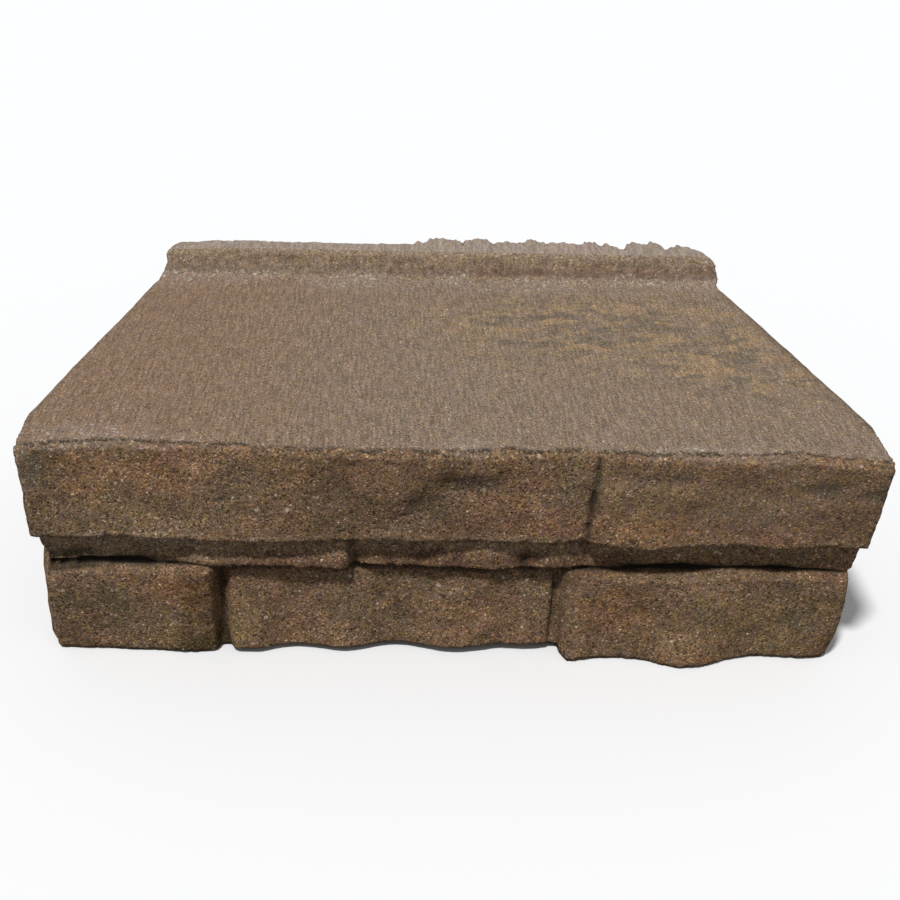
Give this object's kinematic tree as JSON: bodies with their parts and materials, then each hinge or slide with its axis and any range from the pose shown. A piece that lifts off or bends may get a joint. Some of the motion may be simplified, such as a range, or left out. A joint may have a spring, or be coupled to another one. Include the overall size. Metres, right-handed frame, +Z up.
{
  "type": "retaining wall block",
  "caption": "Cast concrete retaining wall block with tapered sides, a locking lip along the back and a rough face moulded as stacked flat stones.",
  "frame": {"origin": "on the bed, under the middle of the block", "axes": "+X along the face, to the right of someone who looks at it, +Y from the rough face to the lip, +Z up from the bed"},
  "size_m": [0.295, 0.1798, 0.1015],
  "materials": {
    "concrete": "matte"
  },
  "bodies": {
    "root": {"wall_block": "concrete"}
  },
  "joints": []
}
